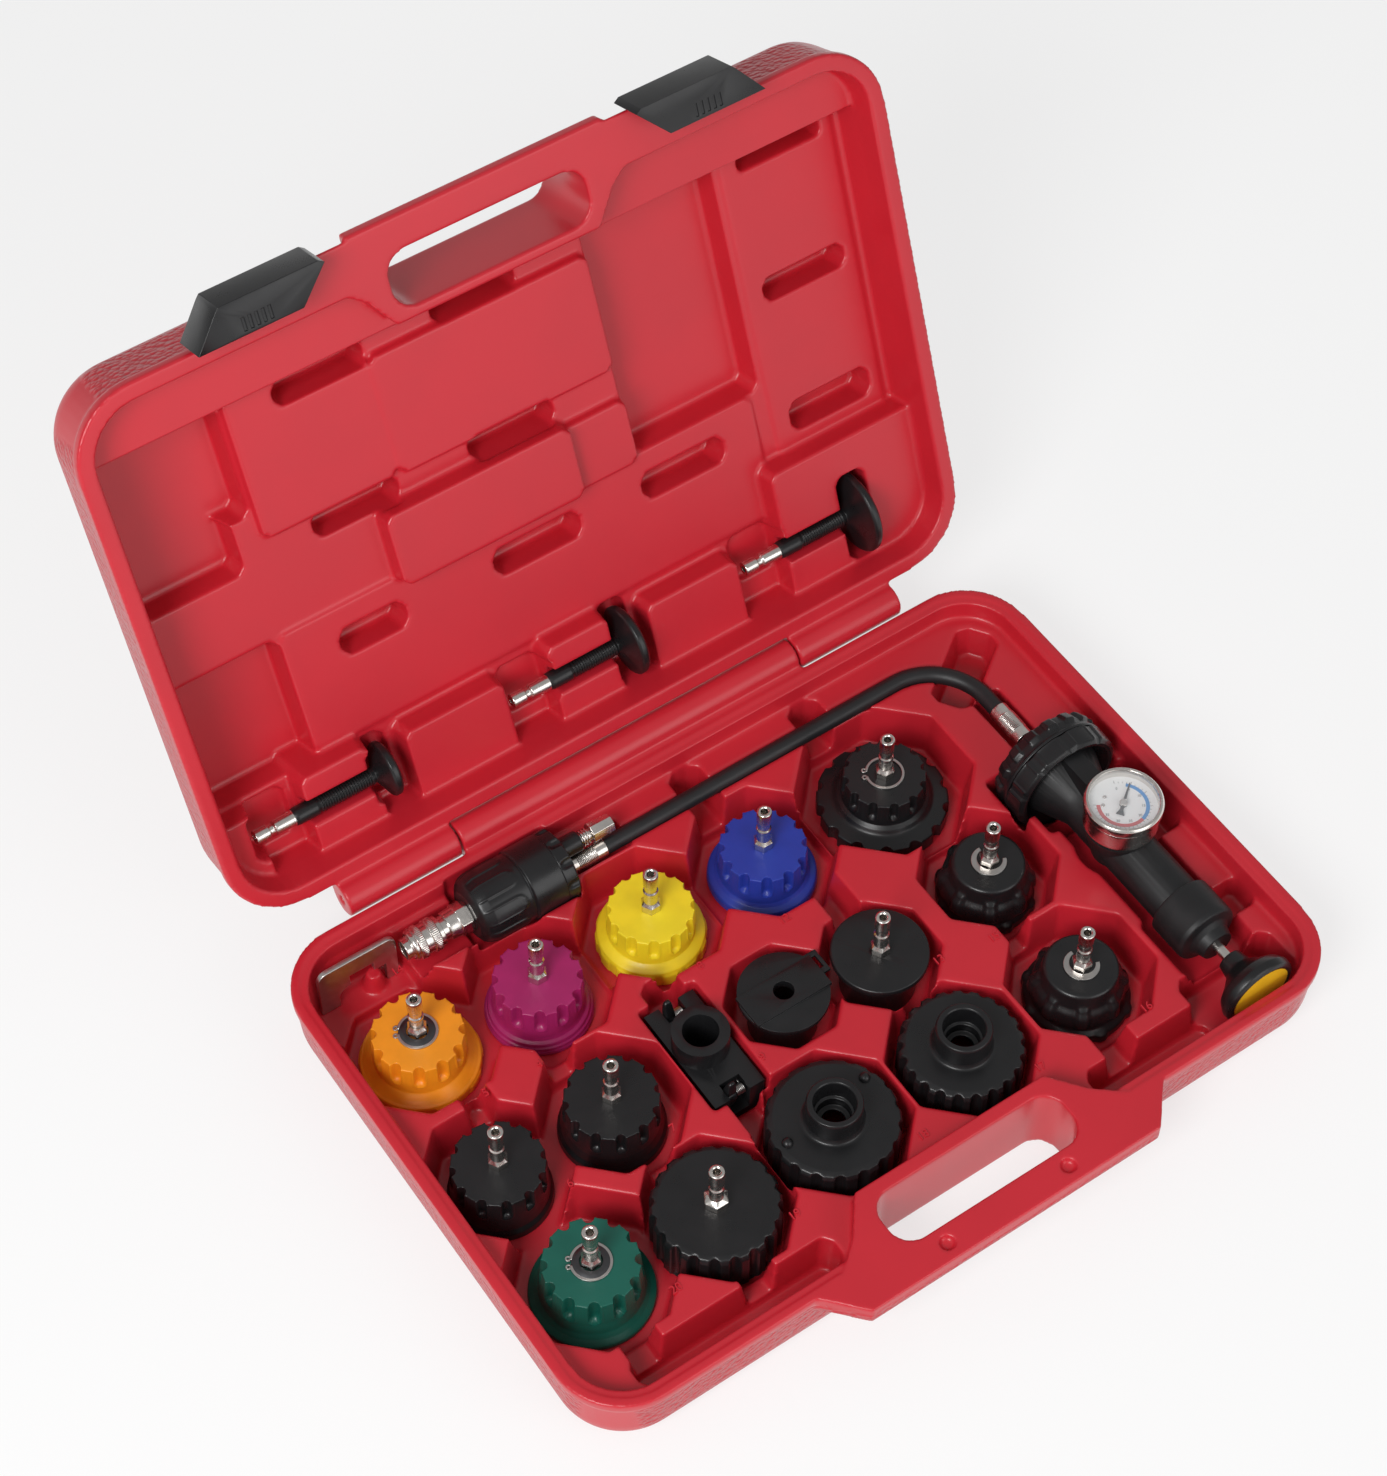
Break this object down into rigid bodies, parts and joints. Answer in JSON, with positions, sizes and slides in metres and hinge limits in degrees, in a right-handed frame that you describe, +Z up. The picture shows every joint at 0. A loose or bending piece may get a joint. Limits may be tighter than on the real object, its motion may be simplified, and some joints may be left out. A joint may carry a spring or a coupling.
{
  "type": "radiator pressure tester",
  "caption": "Cooling-system pressure tester kit: hand pump with gauge and hose, filler-neck adapters and plugs in a hinged moulded case.",
  "frame": {"origin": "centre of the tray's underside, on the surface it stands on", "axes": "+X along the hinge, +Y from the handle to the hinge, +Z up"},
  "size_m": [0.46, 0.4952, 0.372],
  "materials": {
    "case_red": "blow-moulded, fine grain",
    "black_plastic": "satin moulded",
    "nickel": "nickel plated",
    "zinc_plate": "satin plated",
    "brass": "bare",
    "dial_white": "printed",
    "lens_clear": "clear",
    "disc_yellow": "plain",
    "hose_rubber": "satin",
    "seal_rubber": "matt",
    "cap_orange": "satin moulded",
    "cap_purple": "satin moulded",
    "cap_yellow": "satin moulded",
    "cap_blue": "satin moulded",
    "cap_green": "satin moulded"
  },
  "bodies": {
    "root": {"tray": "case_red", "hinge_pin": "nickel"},
    "lid": {"lid": "case_red"},
    "latch_left": {"latch_left": "black_plastic"},
    "latch_right": {"latch_right": "black_plastic"},
    "tester": {"pump_barrel": "black_plastic", "pump_head": "black_plastic", "head_ring": "black_plastic", "pump_end_cap": "black_plastic", "gauge_case": "nickel", "gauge_dial": "dial_white", "gauge_lens": "lens_clear", "gauge_stem": "brass", "hose": "hose_rubber", "hose_ferrules": "nickel", "grip_body": "black_plastic", "grip_cap": "black_plastic", "relief_neck": "nickel", "coupler_body": "nickel"},
    "piston": {"piston_rod": "nickel", "piston_cup": "seal_rubber", "pump_knob": "black_plastic", "knob_disc": "disc_yellow"},
    "needle": {"gauge_needle": "black_plastic"},
    "relief": {"relief_knob": "nickel"},
    "sleeve": {"coupler_sleeve": "nickel"},
    "bracket": {"bracket_plate": "zinc_plate"},
    "adapter_orange": {"cap_orange": "cap_orange", "fitting_orange": "nickel"},
    "adapter_purple": {"cap_purple": "cap_purple", "fitting_purple": "nickel"},
    "adapter_yellow": {"cap_yellow": "cap_yellow", "fitting_yellow": "nickel"},
    "adapter_blue": {"cap_blue": "cap_blue", "fitting_blue": "nickel"},
    "adapter_two_step": {"cap_two_step": "black_plastic", "fitting_two_step": "nickel"},
    "adapter_black_1": {"cap_black_1": "black_plastic", "fitting_black_1": "nickel"},
    "adapter_black_2": {"cap_black_2": "black_plastic", "fitting_black_2": "nickel"},
    "adapter_green": {"cap_green": "cap_green", "fitting_green": "nickel"},
    "adapter_scalloped": {"cap_scalloped": "black_plastic", "fitting_scalloped": "nickel"},
    "adapter_dome_1": {"cap_dome_1": "black_plastic", "fitting_dome_1": "nickel"},
    "adapter_dome_2": {"cap_dome_2": "black_plastic", "fitting_dome_2": "nickel"},
    "adapter_disc": {"disc_adapter": "black_plastic", "fitting_disc": "nickel"},
    "adapter_lever": {"lever_adapter": "black_plastic"},
    "lever_front": {"lever_front": "black_plastic"},
    "lever_back": {"lever_back": "black_plastic"},
    "adapter_bayonet": {"bayonet_plate": "black_plastic"},
    "adapter_ball": {"collar_ball": "black_plastic"},
    "adapter_notched": {"collar_notched": "black_plastic"},
    "plug_1": {"plug_1": "black_plastic"},
    "plug_2": {"plug_2": "black_plastic"},
    "plug_3": {"plug_3": "black_plastic"}
  },
  "joints": [
    {"name": "lid_hinge", "type": "hinge", "parent": "root", "child": "lid", "pos_m": [0, 0.166, 0.045], "axis": [-1, 0, 0], "range_deg": [-111, 0]},
    {"name": "latch_left_slide", "type": "slide", "parent": "lid", "child": "latch_left", "axis": [1, 0, 0], "range_m": [0, 0.018]},
    {"name": "latch_right_slide", "type": "slide", "parent": "lid", "child": "latch_right", "axis": [-1, 0, 0], "range_m": [-0.007, 0.011]},
    {"name": "tester_lift", "type": "slide", "parent": "root", "child": "tester", "axis": [0, 0, 1], "range_m": [0, 0.08]},
    {"name": "piston_slide", "type": "slide", "parent": "tester", "child": "piston", "axis": [0, 1, 0], "range_m": [0, 0.009]},
    {"name": "gauge_needle_turn", "type": "hinge", "parent": "tester", "child": "needle", "pos_m": [0.1825, -0.02495, 0.066], "axis": [0, 0, -1], "range_deg": [0, 250]},
    {"name": "relief_pull", "type": "slide", "parent": "tester", "child": "relief", "axis": [1, 0, 0], "range_m": [0, 0.003], "stiffness_N_per_m": 500, "springref_m": -0.002},
    {"name": "sleeve_slide", "type": "slide", "parent": "tester", "child": "sleeve", "axis": [1, 0, 0], "range_m": [0, 0.003], "stiffness_N_per_m": 500, "springref_m": -0.002},
    {"name": "bracket_lift", "type": "slide", "parent": "root", "child": "bracket", "axis": [0, 0, 1], "range_m": [0, 0.06]},
    {"name": "orange_lift", "type": "slide", "parent": "root", "child": "adapter_orange", "axis": [0, 0, 1], "range_m": [0, 0.06]},
    {"name": "purple_lift", "type": "slide", "parent": "root", "child": "adapter_purple", "axis": [0, 0, 1], "range_m": [0, 0.06]},
    {"name": "yellow_lift", "type": "slide", "parent": "root", "child": "adapter_yellow", "axis": [0, 0, 1], "range_m": [0, 0.06]},
    {"name": "blue_lift", "type": "slide", "parent": "root", "child": "adapter_blue", "axis": [0, 0, 1], "range_m": [0, 0.06]},
    {"name": "two_step_lift", "type": "slide", "parent": "root", "child": "adapter_two_step", "axis": [0, 0, 1], "range_m": [0, 0.06]},
    {"name": "black_1_lift", "type": "slide", "parent": "root", "child": "adapter_black_1", "axis": [0, 0, 1], "range_m": [0, 0.06]},
    {"name": "black_2_lift", "type": "slide", "parent": "root", "child": "adapter_black_2", "axis": [0, 0, 1], "range_m": [0, 0.06]},
    {"name": "green_lift", "type": "slide", "parent": "root", "child": "adapter_green", "axis": [0, 0, 1], "range_m": [0, 0.06]},
    {"name": "scalloped_lift", "type": "slide", "parent": "root", "child": "adapter_scalloped", "axis": [0, 0, 1], "range_m": [0, 0.06]},
    {"name": "dome_1_lift", "type": "slide", "parent": "root", "child": "adapter_dome_1", "axis": [0, 0, 1], "range_m": [0, 0.06]},
    {"name": "dome_2_lift", "type": "slide", "parent": "root", "child": "adapter_dome_2", "axis": [0, 0, 1], "range_m": [0, 0.06]},
    {"name": "disc_lift", "type": "slide", "parent": "root", "child": "adapter_disc", "axis": [0, 0, 1], "range_m": [0, 0.06]},
    {"name": "lever_lift", "type": "slide", "parent": "root", "child": "adapter_lever", "axis": [0, 0, 1], "range_m": [0, 0.06]},
    {"name": "bayonet_lift", "type": "slide", "parent": "root", "child": "adapter_bayonet", "axis": [0, 0, 1], "range_m": [0, 0.06]},
    {"name": "ball_lift", "type": "slide", "parent": "root", "child": "adapter_ball", "axis": [0, 0, 1], "range_m": [0, 0.06]},
    {"name": "notched_lift", "type": "slide", "parent": "root", "child": "adapter_notched", "axis": [0, 0, 1], "range_m": [0, 0.06]},
    {"name": "lever_front_turn", "type": "hinge", "parent": "adapter_lever", "child": "lever_front", "pos_m": [-0.067, -0.031, 0.024], "axis": [-1, 0, 0], "range_deg": [0, 12], "stiffness_Nm_per_rad": 0.02, "springref_deg": -11.46},
    {"name": "lever_back_turn", "type": "hinge", "parent": "adapter_lever", "child": "lever_back", "pos_m": [-0.067, 0.023, 0.024], "axis": [1, 0, 0], "range_deg": [0, 12], "stiffness_Nm_per_rad": 0.02, "springref_deg": -11.46},
    {"name": "plug_1_lift", "type": "slide", "parent": "lid", "child": "plug_1", "axis": [0, -0.9336, 0.3584], "range_m": [0, 0.04]},
    {"name": "plug_2_lift", "type": "slide", "parent": "lid", "child": "plug_2", "axis": [0, -0.9336, 0.3584], "range_m": [0, 0.04]},
    {"name": "plug_3_lift", "type": "slide", "parent": "lid", "child": "plug_3", "axis": [0, -0.9336, 0.3584], "range_m": [0, 0.04]}
  ]
}
